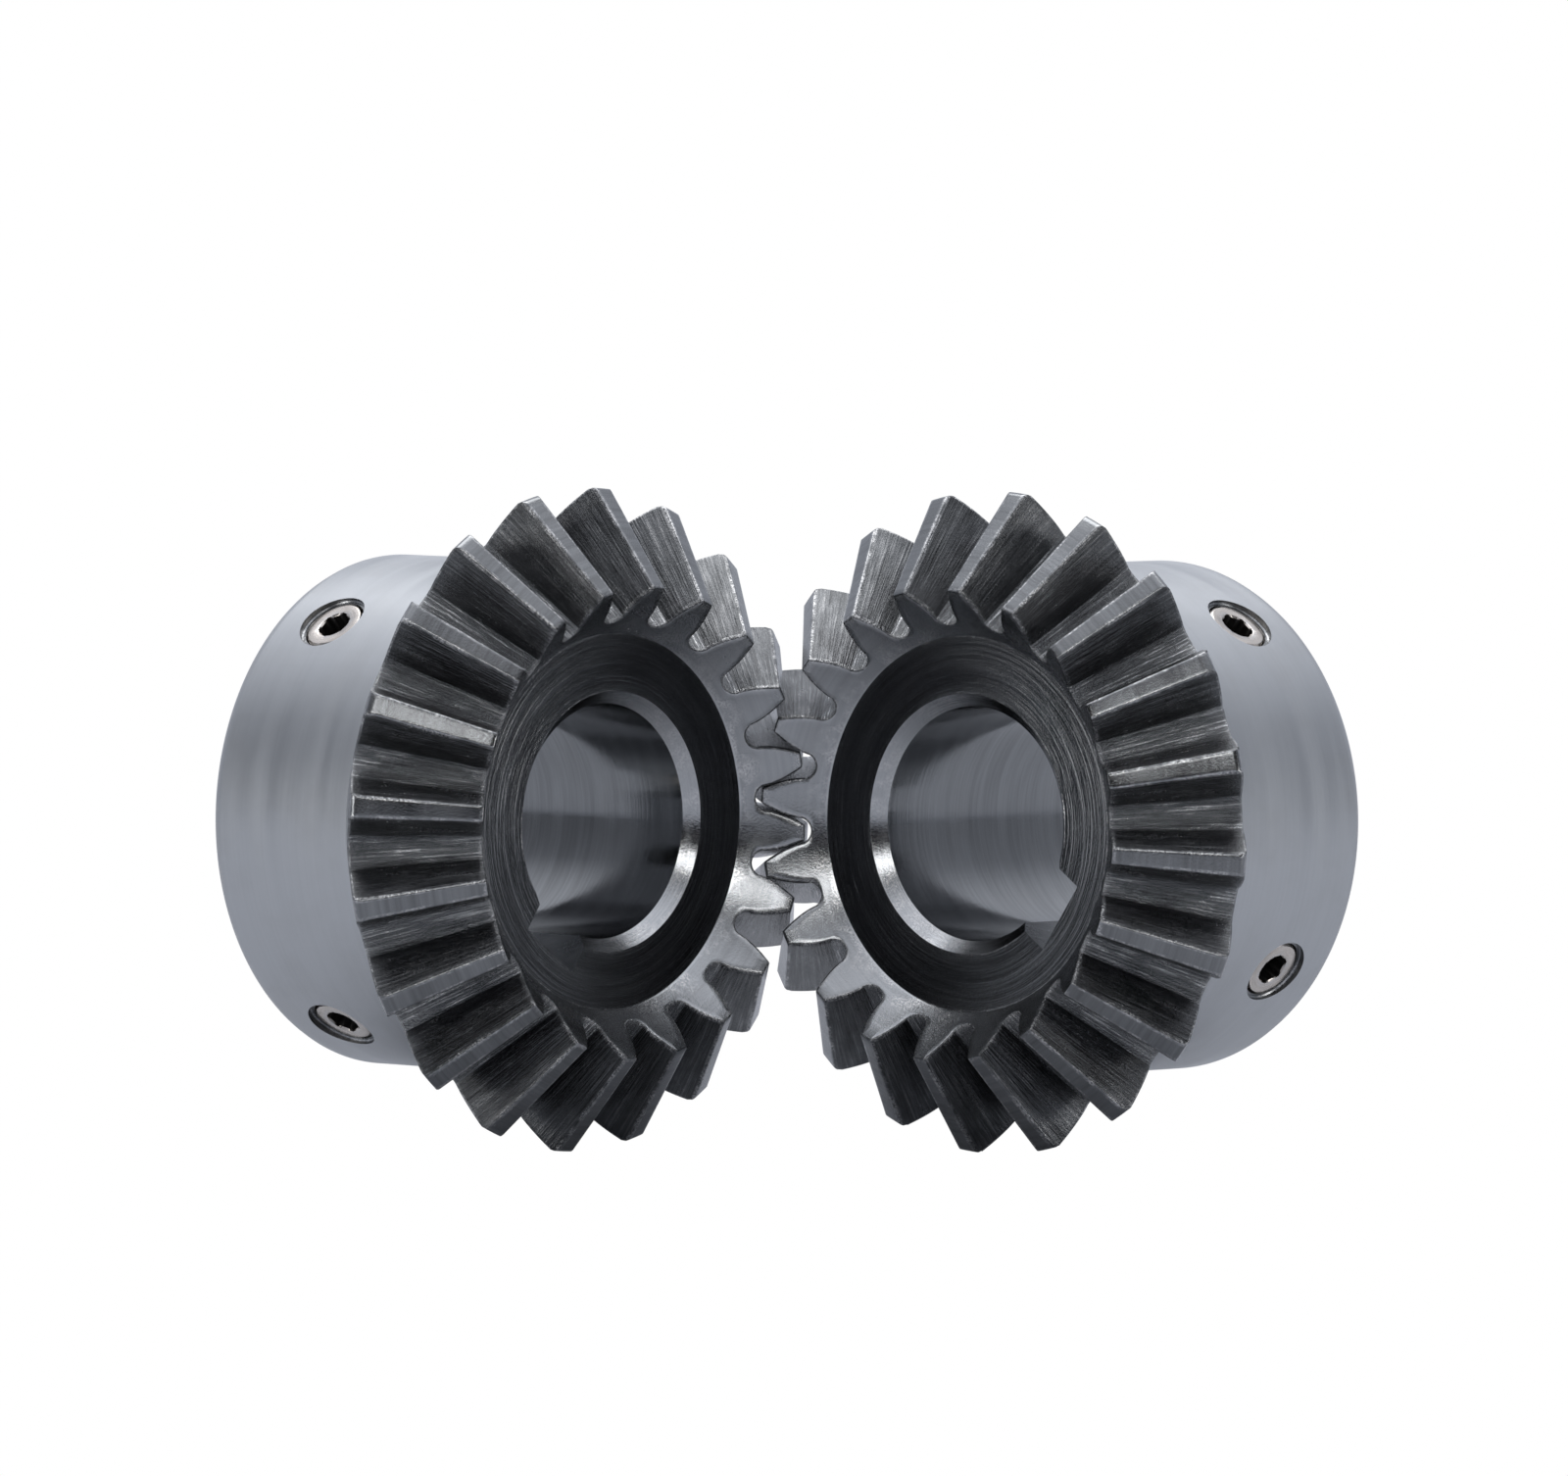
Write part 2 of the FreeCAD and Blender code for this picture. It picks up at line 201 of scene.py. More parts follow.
class Outline:
    """The whole toothed outline of a gear, from which the rings of its surface are taken."""

    def __init__(self, space):
        outline, zones, wear = pitch_outline()
        turns = math.radians(space) + np.radians(PITCH_ANGLE) * np.arange(TEETH)
        self.angle = (turns[:, None] + outline[None, :, 0]).ravel()
        self.height = np.tile(outline[:, 1], TEETH)
        self.zones = np.tile(zones, TEETH)
        self.wear = np.tile(wear, TEETH)
        self.local = np.tile(outline[:, 0], TEETH)

    def place(self, radius, distance, angle=None):
        """Points at a radius from the axis and a distance from the apex along it."""
        angle = self.angle if angle is None else angle
        distance = distance + 0 * angle
        return np.stack([radius * np.cos(angle), radius * np.sin(angle), distance], 1)

    def inset(self, cone_sum, depth):
        """The outline on one cone, moved into the metal by a depth, with its tips rounded off at the heel."""
        short = max(0.0, 1 - (HEEL_SUM - cone_sum) * math.sqrt(0.5) / HEEL_TIP_ROUND)
        drop = HEEL_TIP_ROUND * (1 - math.sqrt(1 - short ** 2))
        tops = np.minimum(self.height, TIP_HEIGHT - drop / (math.sqrt(2) * cone_sum))
        points = np.stack([math.sqrt(2) * tops, tops.mean() * self.angle], 1) * cone_sum
        step = np.roll(points, -1, 0) - points
        lap = tops.mean() * 2 * math.pi * cone_sum
        step[-1, 1] += lap
        step /= np.linalg.norm(step, axis=1)[:, None]
        along = step + np.roll(step, 1, 0)
        along /= np.linalg.norm(along, axis=1)[:, None]
        height = tops - along[:, 1] * depth / (math.sqrt(2) * cone_sum)
        angle = self.angle + along[:, 0] * depth / (cone_sum * tops)
        return self.place(cone_sum * height, cone_sum * (1 - height), angle)

    def shrunk(self, cone_sum, share, floor):
        """The outline drawn towards each tooth's root by a share, clear of the edges."""
        half_pitch = math.radians(PITCH_ANGLE / 2)
        side = np.sign(self.local)
        angle = self.angle + share * side * (half_pitch - np.abs(self.local)) * (np.abs(self.local) > 1e-6)
        height = self.height + share * (floor - self.height)
        return self.place(cone_sum * height, cone_sum * (1 - height), angle)

    def circle(self, radius, distance):
        """The outline's angles on a plain circle."""
        return self.place(radius + 0 * self.angle, distance)


# ---------------------------------------------------------------- meshes

WELD = 0.0005             # points closer than this are one point
CUTTER_SHARP = 30         # edges that turn by more than this many degrees stay sharp
GEAR_SHARP = 32
SCREW_SHARP = 35
HOLE_SIDES = 96
MOUTH_ROUND = 0.08
CUT_MARGIN = 1.0          # how far a hole's cutter stands out of the hub
CUT_START = 0.6           # where it starts inside the bore, as a share of the bore's radius
KEYWAY_ENDS = (10.0, 45.0)  # a span along the axis that runs past the gear at both ends


def skin(name, rings, materials, smooth_angle, joined=True):
    """A mesh over rings of points. A ring is (points, wear, zone of the strip after it)."""
    count = len(rings[0][0])
    points = np.vstack([ring[0] for ring in rings]) * MM
    wear = np.concatenate([np.broadcast_to(ring[1], count) for ring in rings]).astype(np.float32)
    here = np.arange(count)
    ahead = (here + 1) % count
    faces, zones = [], []
    for index, ring in enumerate(rings if joined else rings[:-1]):
        base, after = index * count, (index + 1) % len(rings) * count
        faces.append(np.stack([base + here, base + ahead, after + ahead, after + here], 1))
        zones.append(np.broadcast_to(ring[2], count))
    mesh = bpy.data.meshes.new(name)
    mesh.from_pydata(points.tolist(), [], np.vstack(faces).tolist())
    mesh.polygons.foreach_set("material_index", np.concatenate(zones).astype(np.int32))
    mesh.attributes.new("wear", "FLOAT", "POINT").data.foreach_set("value", wear)
    for material in materials:
        mesh.materials.append(material)
    finish_mesh(mesh, smooth_angle)
    return mesh


def finish_mesh(mesh, smooth_angle):
    """Turn the faces outwards and keep only the true edges sharp."""
    work = bmesh.new()
    work.from_mesh(mesh)
    bmesh.ops.remove_doubles(work, verts=work.verts, dist=WELD * MM)
    bmesh.ops.recalc_face_normals(work, faces=work.faces)
    work.to_mesh(mesh)
    work.free()
    mesh.shade_smooth()
    mesh.set_sharp_from_angle(angle=math.radians(smooth_angle))


def add_object(name, mesh, matrix):
    obj = bpy.data.objects.new(name, mesh)
    bpy.context.scene.collection.objects.link(obj)
    obj.matrix_world = matrix
    return obj


def revolved(name, profile, count, materials, zone):
    """A closed turned solid about Z, all of one zone. The profile is (radius, height) from top to bottom."""
    turns = np.linspace(0, 2 * math.pi, count, endpoint=False)
    rings = []
    for radius, height in profile:
        ring = np.stack([radius * np.cos(turns), radius * np.sin(turns), height + 0 * turns], 1)
        rings.append(ring)
    verts = np.vstack(rings) * MM
    faces = [list(range(count))]
    for index in range(len(rings) - 1):
        for k in range(count):
            base, ahead = index * count, (k + 1) % count
            faces.append([base + k, base + count + k, base + count + ahead, base + ahead])
    faces.append(list(range((len(rings) - 1) * count, len(rings) * count))[::-1])
    mesh = bpy.data.meshes.new(name)
    mesh.from_pydata(verts.tolist(), [], faces)
    for material in materials:
        mesh.materials.append(material)
    mesh.polygons.foreach_set("material_index", np.full(len(faces), zone, np.int32))
    finish_mesh(mesh, CUTTER_SHARP)
    return mesh


def radial_axes(angle):
    """Rotation that takes Z outwards at an angle round a gear's axis."""
    turn = math.radians(angle)
    outward = Vector((math.cos(turn), math.sin(turn), 0))
    side = Vector((0, 0, 1))
    return Matrix((side, outward.cross(side), outward)).transposed().to_4x4()


def hole_cutter(materials, angle):
    """The space of one screw hole, from the bore to above the hub."""
    profile = [
        (MOUTH_RADIUS, HUB_RADIUS + CUT_MARGIN),
        (MOUTH_RADIUS, HUB_RADIUS - MOUTH_DEPTH + MOUTH_ROUND),
        (MOUTH_RADIUS - MOUTH_ROUND, HUB_RADIUS - MOUTH_DEPTH),
        (HOLE_RADIUS, HUB_RADIUS - MOUTH_DEPTH),
        (HOLE_RADIUS, BORE_RADIUS * CUT_START),
    ]
    mesh = revolved("hole", profile, HOLE_SIDES, materials, CUT)
    mesh.transform(Matrix.Translation((0, 0, SCREW_STATION * MM)) @ radial_axes(angle))
    return mesh


def keyway_cutter(materials, angle):
    """A bar as wide as the key, from the axis out to the keyway's floor."""
    half = KEY_WIDTH / 2
    corners = [Vector((x, y, z)) * MM for x in (0, KEYWAY_FLOOR) for y in (-half, half) for z in KEYWAY_ENDS]
    faces = [(0, 1, 3, 2), (4, 6, 7, 5), (0, 4, 5, 1), (2, 3, 7, 6), (0, 2, 6, 4), (1, 5, 7, 3)]
    mesh = bpy.data.meshes.new("keyway")
    mesh.from_pydata(corners, [], faces)
    for material in materials:
        mesh.materials.append(material)
    mesh.polygons.foreach_set("material_index", np.full(len(faces), CUT, np.int32))
    mesh.transform(Matrix.Rotation(math.radians(angle), 4, "Z"))
    finish_mesh(mesh, CUTTER_SHARP)
    return mesh


def cut_away(obj, cutters):
    """Cut solids out of an object, one after another."""
    for cutter in cutters:
        tool = add_object("tool", cutter, obj.matrix_world)
        boolean = obj.modifiers.new("cut", "BOOLEAN")
        boolean.operation = "DIFFERENCE"
        boolean.solver = "EXACT"
        boolean.material_mode = "INDEX"
        boolean.object = tool
        bpy.context.view_layer.update()
        result = bpy.data.meshes.new_from_object(obj.evaluated_get(bpy.context.evaluated_depsgraph_get()))
        obj.modifiers.clear()
        obj.data = result
        bpy.data.objects.remove(tool)


# ---------------------------------------------------------------- pieces

ARC_MIDDLE = 0.3          # how far inside a sharp corner a round one passes, as a share of its radius
NARROW_STRIP = 0.3        # widths over which an edge's wear fades
WIDE_STRIP = 0.4
TOE_MARGIN = 0.5          # from the toe's edge to the first full ring, as a cone sum
FLANK_RINGS = 8
HEEL_RINGS = (1.0, 0.75, 0.52, 0.35)  # rings over the heel's rounded tips, as shares of the rounding
TOE_DRAW, TOE_CLEAR = 0.25, 0.004     # the toe's inner ring: its share, and its floor above the web
BACK_DRAW, BACK_CLEAR = 0.2, 0.01     # the same behind the heel, above the hub


def gear_mesh(name, gear, materials):
    """The skin of a gear from the web over the teeth, back and hub and through the bore to the web again."""
    outline = Outline(gear["space"])
    rounding = EDGE_ROUND
    slant = rounding * math.sqrt(2)
    toe_floor = WEB_RADIUS / TOE_SUM + TOE_CLEAR
    back_floor = HUB_RADIUS / HEEL_SUM + BACK_CLEAR
    rings = [
        (outline.circle(WEB_RADIUS, WEB_PLANE), 1, TOE),
        (outline.shrunk(TOE_SUM, TOE_DRAW, toe_floor), 0, TOE),
        (outline.inset(TOE_SUM, rounding), 1, outline.zones),
        (outline.inset(TOE_SUM + ARC_MIDDLE * slant, ARC_MIDDLE * rounding), 1, outline.zones),
    ]
    start, end = TOE_SUM + slant, HEEL_SUM - slant
    between = np.linspace(start, end, FLANK_RINGS)[1:-1]
    rounded = HEEL_SUM - math.sqrt(2) * HEEL_TIP_ROUND * np.array(HEEL_RINGS)
    for station in (start, start + TOE_MARGIN, *between, *rounded, end):
        wear = 1 if station in (start, end) else outline.wear
        rings.append((outline.inset(station, 0), wear, outline.zones))
    web_bottom = WEB_PLANE + WEB_STEP
    mouth = BORE_RADIUS + BORE_EDGE
    neck = HEEL_SUM - HUB_RADIUS
    rings += [
        (outline.inset(HEEL_SUM - ARC_MIDDLE * slant, ARC_MIDDLE * rounding), 1, outline.zones),
        (outline.inset(HEEL_SUM, rounding), 1, BACK),
        (outline.shrunk(HEEL_SUM, BACK_DRAW, back_floor), 0, BACK),
        (outline.circle(HUB_RADIUS, neck), 0, HUB),
        (outline.circle(HUB_RADIUS, neck + WIDE_STRIP), 0, HUB),
        (outline.circle(HUB_RADIUS, BACK_PLANE - HUB_EDGE - NARROW_STRIP), 0, HUB),
        (outline.circle(HUB_RADIUS, BACK_PLANE - HUB_EDGE), 1, HUB),
        (outline.circle(HUB_RADIUS - ARC_MIDDLE * HUB_EDGE, BACK_PLANE - ARC_MIDDLE * HUB_EDGE), 1, HUB),
        (outline.circle(HUB_RADIUS - HUB_EDGE, BACK_PLANE), 1, BACK),
        (outline.circle(HUB_RADIUS - HUB_EDGE - WIDE_STRIP, BACK_PLANE), 0, BACK),
        (outline.circle(mouth + NARROW_STRIP, BACK_PLANE), 0, BACK),
        (outline.circle(mouth, BACK_PLANE), 1, MOUTH),
        (outline.circle(BORE_RADIUS, BACK_PLANE - BORE_EDGE), 1, BORE),
        (outline.circle(BORE_RADIUS, BACK_PLANE - BORE_EDGE - NARROW_STRIP), 0, BORE),
        (outline.circle(BORE_RADIUS, web_bottom + BORE_EDGE + NARROW_STRIP), 0, BORE),
        (outline.circle(BORE_RADIUS, web_bottom + BORE_EDGE), 1, MOUTH),
        (outline.circle(mouth, web_bottom), 1, WEB),
        (outline.circle(mouth + NARROW_STRIP, web_bottom), 0, WEB),
        (outline.circle(WEB_RADIUS - WIDE_STRIP, web_bottom), 0, WEB),
        # the web's step takes the mouth's brighter finish as a painted highlight line
        (outline.circle(WEB_RADIUS - WEB_STEP, web_bottom), 1, MOUTH),
    ]
    return skin(name, rings, materials, GEAR_SHARP)


def even_shading(obj):
    """Shade large flat faces as flat, whatever small faces lie beside them."""
    weighted = obj.modifiers.new("even_shading", "WEIGHTED_NORMAL")
    weighted.keep_sharp = True


def make_gear(side, materials):
    """One gear with its keyway and its two screw holes cut through the hub."""
    gear = GEARS[side]
    name = f"{side}_gear"
    placed = gear["axes"].to_4x4()
    obj = add_object(f"{side}_gear_detailed", gear_mesh(name, gear, materials), placed)
    cutters = [keyway_cutter(materials, gear["screws"]["key"])]
    cutters += [hole_cutter(materials, angle) for angle in gear["screws"].values()]
    cut_away(obj, cutters)
    obj.data.shade_smooth()
    obj.data.set_sharp_from_angle(angle=math.radians(GEAR_SHARP))
    even_shading(obj)
    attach(obj, name)
    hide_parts(name)
    return obj


SCREW_ZONES = ("set_screw", "socket")
SHELL, SOCKET = range(len(SCREW_ZONES))
SCREW_SIDES = 72
SCREW_BEVEL = 0.15
TOP_ROUND = 0.02
SOCKET_LIP = 0.12
SOCKET_FOOT = 0.1
SOCKET_CONE = 0.3         # the drill's point under the socket's floor
CUP_RADIUS, CUP_EDGE, CUP_DEPTH = 1.0, 0.05, 0.5
THREAD_START = 0.38
THREAD_STEPS = 10         # rings for each turn of the thread
CREST_SLOPE, CREST_DIP = 2.6, 0.1     # they set how steep the thread's sides are and how wide its root


def screw_mesh(name, materials):
    """A headless screw with a helical thread, from the hexagon socket down to the cup."""
    turns = np.linspace(0, 2 * math.pi, SCREW_SIDES, endpoint=False)
    flat = SOCKET_WIDTH / 2
    hexagon = flat / np.cos((turns + math.pi / 6) % (math.pi / 3) - math.pi / 6)

    def ring(radius, height):
        radius = radius + 0 * turns
        return np.stack([radius * np.cos(turns), radius * np.sin(turns), height + 0 * turns], 1)

    top = SCREW_SPAN
    shoulder = SCREW_RADIUS - SCREW_BEVEL
    rings = [
        (ring(0, top - SOCKET_DEPTH - SOCKET_CONE), 0, SOCKET),
        (ring(hexagon * 0.96, top - SOCKET_DEPTH), 0, SOCKET),
        (ring(hexagon, top - SOCKET_DEPTH + SOCKET_FOOT), 0, SOCKET),
        (ring(hexagon, top - SOCKET_LIP), 0, SHELL),
        (ring(np.maximum(hexagon, flat * 1.1), top - TOP_ROUND), 1, SHELL),
        (ring(flat * 1.17, top), 1, SHELL),
        (ring(shoulder - SOCKET_LIP, top), 0, SHELL),
        (ring(shoulder, top - TOP_ROUND), 1, SHELL),
    ]
    for height in np.arange(top - SCREW_BEVEL, THREAD_START, -SCREW_PITCH / THREAD_STEPS):
        phase = (height / SCREW_PITCH - turns / (2 * math.pi)) % 1
        crest = np.clip(CREST_SLOPE * np.abs(phase - 0.5) - CREST_DIP, 0, 1)
        thread = SCREW_CORE + (SCREW_RADIUS - SCREW_CORE) * crest
        run_out = min(SCREW_RADIUS, shoulder + (top - height) * 0.9, SCREW_CORE - 0.3 + height)
        rings.append((ring(np.minimum(thread, run_out), height), (crest > 0.9).astype(float), SHELL))
    rings += [
        (ring(SCREW_CORE - 0.02, 0.3), 0, SHELL),
        (ring(CUP_RADIUS + CUP_EDGE, 0.02), 1, SHELL),
        (ring(CUP_RADIUS - CUP_EDGE, 0.02), 1, SHELL),
        (ring(0, CUP_DEPTH), 0, SHELL),
    ]
    return skin(name, rings, materials, SCREW_SHARP, joined=False)


def make_screw(side, kind, materials):
    """One set screw, sunk a little below the hub's surface."""
    gear = GEARS[side]
    name = f"{side}_{kind}_set_screw"
    foot = HUB_RADIUS - SCREW_SINK - SCREW_SPAN
    in_gear = Matrix.Translation((0, 0, SCREW_STATION * MM)) @ radial_axes(gear["screws"][kind])
    placed = gear["axes"].to_4x4() @ in_gear @ Matrix.Translation((0, 0, foot * MM))
    obj = add_object(f"{name}_detailed", screw_mesh(name, materials), placed)
    even_shading(obj)
    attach(obj, name)
    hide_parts(name)
    return obj


BEAD_RADIUS = 0.02
BEAD_SIDES = 16


def make_datum(material):
    """A bead too small to see where the two shaft lines cross."""
    slopes = np.linspace(0.2, math.pi - 0.2, BEAD_SIDES // 2)
    profile = [(BEAD_RADIUS * math.sin(turn), BEAD_RADIUS * math.cos(turn)) for turn in slopes]
    mesh = revolved("bead", profile, BEAD_SIDES, [material], 0)
    obj = add_object("shaft_crossing_bead", mesh, Matrix.Identity(4))
    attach(obj, "shaft_crossing")
    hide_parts("shaft_crossing_datum")
    return obj


# ---------------------------------------------------------------- materials

class Graph:
    """Short ways to build the nodes of a material or a world."""

    def __init__(self, owner):
        owner.use_nodes = True
        self.tree = owner.node_tree
        self.tree.nodes.clear()

    def add(self, kind, inputs=None, **settings):
        """A node with its settings. Each input is a number, a colour or another node's output."""
        made = self.tree.nodes.new(f"ShaderNode{kind}")
        for key, value in settings.items():
            setattr(made, key, value)
        for key, value in (inputs or {}).items():
            if isinstance(value, bpy.types.NodeSocket):
                self.tree.links.new(value, made.inputs[key])
            else:
                made.inputs[key].default_value = value
        return made

    def math(self, operation, first, second=0.0):
        return self.add("Math", {0: first, 1: second}, operation=operation).outputs[0]

    def vector(self, operation, first, second=(0, 0, 0), scale=1.0):
        made = self.add("VectorMath", operation=operation)
        for key, value in ((0, first), (1, second), (3, scale)):
            if isinstance(value, bpy.types.NodeSocket):
                self.tree.links.new(value, made.inputs[key])
            else:
                made.inputs[key].default_value = value
        return made.outputs["Value" if operation == "LENGTH" else "Vector"]

    def noise(self, vector, w, scale, detail, roughness):
        made = self.add(
            "TexNoise",
            {"Vector": vector, "W": w, "Scale": scale, "Detail": detail, "Roughness": roughness},
            noise_dimensions="4D",
        )
        return made.outputs["Fac"]

    def ramp(self, value, low, high, to_low=0.0, to_high=1.0):
        made = self.add("MapRange", {0: value, 1: low, 2: high, 3: to_low, 4: to_high})
        return made.outputs[0]

    def mix(self, share, first, second):
        made = self.add("MixRGB", {"Fac": share, "Color1": first, "Color2": second})
        return made.outputs["Color"]


def grey(level, warmth=0.0):
    """A metal colour, bluish where warmth is below nought."""
    return (level * (1 + warmth), level, level * (1 - warmth), 1.0)


RAY_REACH = 26.0          # how far from the origin planed marks have their stated spacing


def turned_marks(g, place, spacing):
    """Fine lines and broad bands that run round the piece's axis."""
    flat = g.vector("MULTIPLY", place, (1, 1, 0))
    around = g.vector("NORMALIZE", flat)
    across = g.math("MULTIPLY", g.vector("LENGTH", flat), 1 / spacing)
    height = g.add("SeparateXYZ", {0: place}).outputs[2]
    lifted = g.add("CombineXYZ", {2: g.math("MULTIPLY", height, 1 / spacing)}).outputs[0]
    along = g.vector("ADD", g.vector("SCALE", around, scale=1.1), lifted)
    wide = g.vector("ADD", g.vector("SCALE", around, scale=0.8), g.vector("SCALE", lifted, scale=0.12))
    lines = g.noise(along, across, 1.0, 3.0, 0.6)
    bands = g.noise(wide, g.math("MULTIPLY", across, 0.12), 1.0, 2.0, 0.5)
    return lines, bands


def planed_marks(g, place, spacing):
    """Fine lines and broad bands that run along rays from the piece's origin."""
    ray = g.vector("NORMALIZE", place)
    reach = g.vector("LENGTH", place)
    tight = RAY_REACH / spacing
    along = g.vector("SCALE", ray, scale=tight)
    wide = g.vector("SCALE", ray, scale=tight * 0.15)
    lines = g.noise(along, g.math("MULTIPLY", reach, 0.22), 1.0, 4.0, 0.65)
    bands = g.noise(wide, g.math("MULTIPLY", reach, 0.35), 1.0, 3.0, 0.55)
    return lines, bands


def steel(name, tone, rough, marks, depth, spacing, contrast=0.25, grain=0.3, streak_highlight=0.0, warmth=-0.03):
    """Machined steel, from the base tone up through lines, painted highlights on rough tool marks, stains and
    worn edges.

    Depth and spacing are in millimetres. Grain is how deep the specks are beside the lines, and
    streak_highlight the brightness of the painted highlights laid on a few rough tool marks.
    """
    material = bpy.data.materials.new(name)
    g = Graph(material)
    place = g.vector("SCALE", g.add("TexCoord").outputs["Object"], scale=1 / MM)
    line_noise, band_noise = marks(g, place, spacing)
    speck = g.noise(place, 0.0, 7.0, 3.0, 0.7)
    blotch = g.noise(place, 0.0, 0.28, 3.0, 0.55)
    patchy = g.noise(place, 3.0, 0.8, 3.0, 0.6)

    # lines and bands
    lines = g.ramp(line_noise, 0.3, 0.7)
    bands = g.ramp(band_noise, 0.35, 0.65)
    shade = g.math("ADD", g.math("MULTIPLY", lines, 0.6), g.math("MULTIPLY", bands, 0.4))
    colour = g.mix(shade, grey(tone * (1 - contrast), warmth), grey(tone * (1 + contrast), warmth))
    # painted highlight: a few rough tool marks get a bright colour that stands in for the light they catch
    if streak_highlight:
        tear_highlight = g.math("MULTIPLY", g.ramp(line_noise, 0.52, 0.64), g.ramp(band_noise, 0.44, 0.6))
        tear_highlight = g.math("MULTIPLY", tear_highlight, g.ramp(speck, 0.3, 0.55))
        colour = g.mix(tear_highlight, colour, grey(streak_highlight))

    # stains, and bare metal along worn edges
    stain = g.ramp(blotch, 0.48, 0.72, 0.0, 0.2)
    colour = g.mix(stain, colour, grey(tone * 0.72, warmth + 0.04))
    wear = g.add("Attribute", attribute_name="wear").outputs["Fac"]
    ragged = g.math("MULTIPLY", g.ramp(speck, 0.42, 0.58), g.ramp(patchy, 0.4, 0.58))
    chipped = g.math("MULTIPLY", g.ramp(wear, 0.45, 0.85), ragged)
    colour = g.mix(chipped, colour, grey(0.5))

    # gloss and relief
    uneven = g.math("ADD", g.math("MULTIPLY", speck, 0.14), g.math("MULTIPLY", bands, 0.1))
    roughness = g.math("ADD", g.math("SUBTRACT", uneven, 0.12), rough)
    relief = g.math("ADD", line_noise, g.math("MULTIPLY", speck, grain))
    bump = g.add("Bump", {"Strength": 1.0, "Distance": depth * MM, "Height": relief}).outputs[0]
    shader = g.add("BsdfPrincipled", {
        "Base Color": colour, "Metallic": 1.0, "Roughness": roughness, "Normal": bump,
    })
    g.add("OutputMaterial", {"Surface": shader.outputs[0]})
    return material


TURNED, PLANED = turned_marks, planed_marks

# The gear is one steel. The flank, root, land, web and bore tones sit well below the hub's as painted shade,
# and the root's streak_highlight is a painted highlight on its rough tool marks.
GEAR_FINISHES = {
    "hub": dict(tone=0.47, rough=0.38, marks=TURNED, depth=0.003, spacing=0.22, contrast=0.04),
    "flank": dict(tone=0.11, rough=0.22, marks=PLANED, depth=0.1, spacing=0.16, contrast=0.7, streak_highlight=0.25),
    "root": dict(tone=0.24, rough=0.19, marks=PLANED, depth=0.13, spacing=0.14, contrast=0.6, grain=1.3,
                 streak_highlight=1.2),
    "land": dict(tone=0.2, rough=0.20, marks=TURNED, depth=0.012, spacing=0.3, contrast=0.3, grain=1.2),
    "toe": dict(tone=0.33, rough=0.23, marks=TURNED, depth=0.008, spacing=0.3, contrast=0.15, grain=1.3),
    "web": dict(tone=0.15, rough=0.17, marks=TURNED, depth=0.06, spacing=0.25, contrast=0.5),
    # the mouth's higher tone is a painted highlight on the chamfers and the web's step
    "mouth": dict(tone=0.40, rough=0.2, marks=TURNED, depth=0.015, spacing=0.1, contrast=0.1, grain=0.5),
    "bore": dict(tone=0.23, rough=0.15, marks=TURNED, depth=0.004, spacing=0.2, contrast=0.2),
    "cut": dict(tone=0.22, rough=0.3, marks=PLANED, depth=0.01, spacing=0.3, contrast=0.2),
    "back": dict(tone=0.38, rough=0.32, marks=TURNED, depth=0.01, spacing=0.25, contrast=0.12),
}
SCREW_FINISHES = {
    "set_screw": dict(tone=0.5, rough=0.26, marks=TURNED, depth=0.006, spacing=0.1, warmth=0.08),
    # the socket's tone, far below the shell's, is painted shade in the recess; the screw is one steel
    "socket": dict(tone=0.07, rough=0.4, marks=PLANED, depth=0.01, spacing=0.2, warmth=0.05),
}
BEAD_FINISH = dict(tone=0.6, rough=0.5, marks=TURNED, depth=0.001, spacing=0.1)


def make_steels(zones, finishes):
    """One finish for each zone, in the zones' order."""
    return [steel(f"{zone}_steel", **finishes[zone]) for zone in zones]


# ---------------------------------------------------------------- stage

HEADING = math.radians(42.48)
LOOK_DOWN = math.radians(2.68)
ROLL = math.radians(0.55)
CAMERA_DISTANCE = 1.019
CAMERA_TARGET = Vector((0.01208, 0.01226, 0.00512))
LENS = 365.7
SENSOR = 36.0

# direction as (azimuth, elevation) in degrees, distance and size in metres, power in watts
LIGHTS = {
    "overhead_softbox": dict(direction=(45.0, 70.0), distance=0.6, size=(0.5, 0.4), power=1.6),
    "front_strip": dict(direction=(225.0, 25.0), distance=0.8, size=(0.6, 0.13), power=1.0),
    "left_strip": dict(direction=(165.0, 5.0), distance=0.7, size=(0.32, 0.12), power=0.6),
    "right_strip": dict(direction=(-75.0, 5.0), distance=0.7, size=(0.32, 0.12), power=0.6),
}

WHITE = (1, 1, 1, 1)
ROOM_FRONT = (0.012, 0.012, 0.015, 1)
ROOM_BACK = (0.62, 0.65, 0.73, 1)
ROOM_ABOVE = (1.2, 1.23, 1.32, 1)
FLOOR_GREY = (0.5, 0.51, 0.54, 1)
FLOOR_HALF = 12.0


def aim(obj, target, roll=0.0):
    """Point an object's -Z axis at a target with its Y axis up."""
    forward = (Vector(target) - obj.location).normalized()
    obj.rotation_mode = "QUATERNION"
    obj.rotation_quaternion = forward.to_track_quat("-Z", "Y") @ Matrix.Rotation(roll, 3, "Z").to_quaternion()


def toward(azimuth, elevation):
    """The unit vector of a direction given in radians."""
    level = math.cos(elevation)
    return Vector((math.cos(azimuth) * level, math.sin(azimuth) * level, math.sin(elevation)))


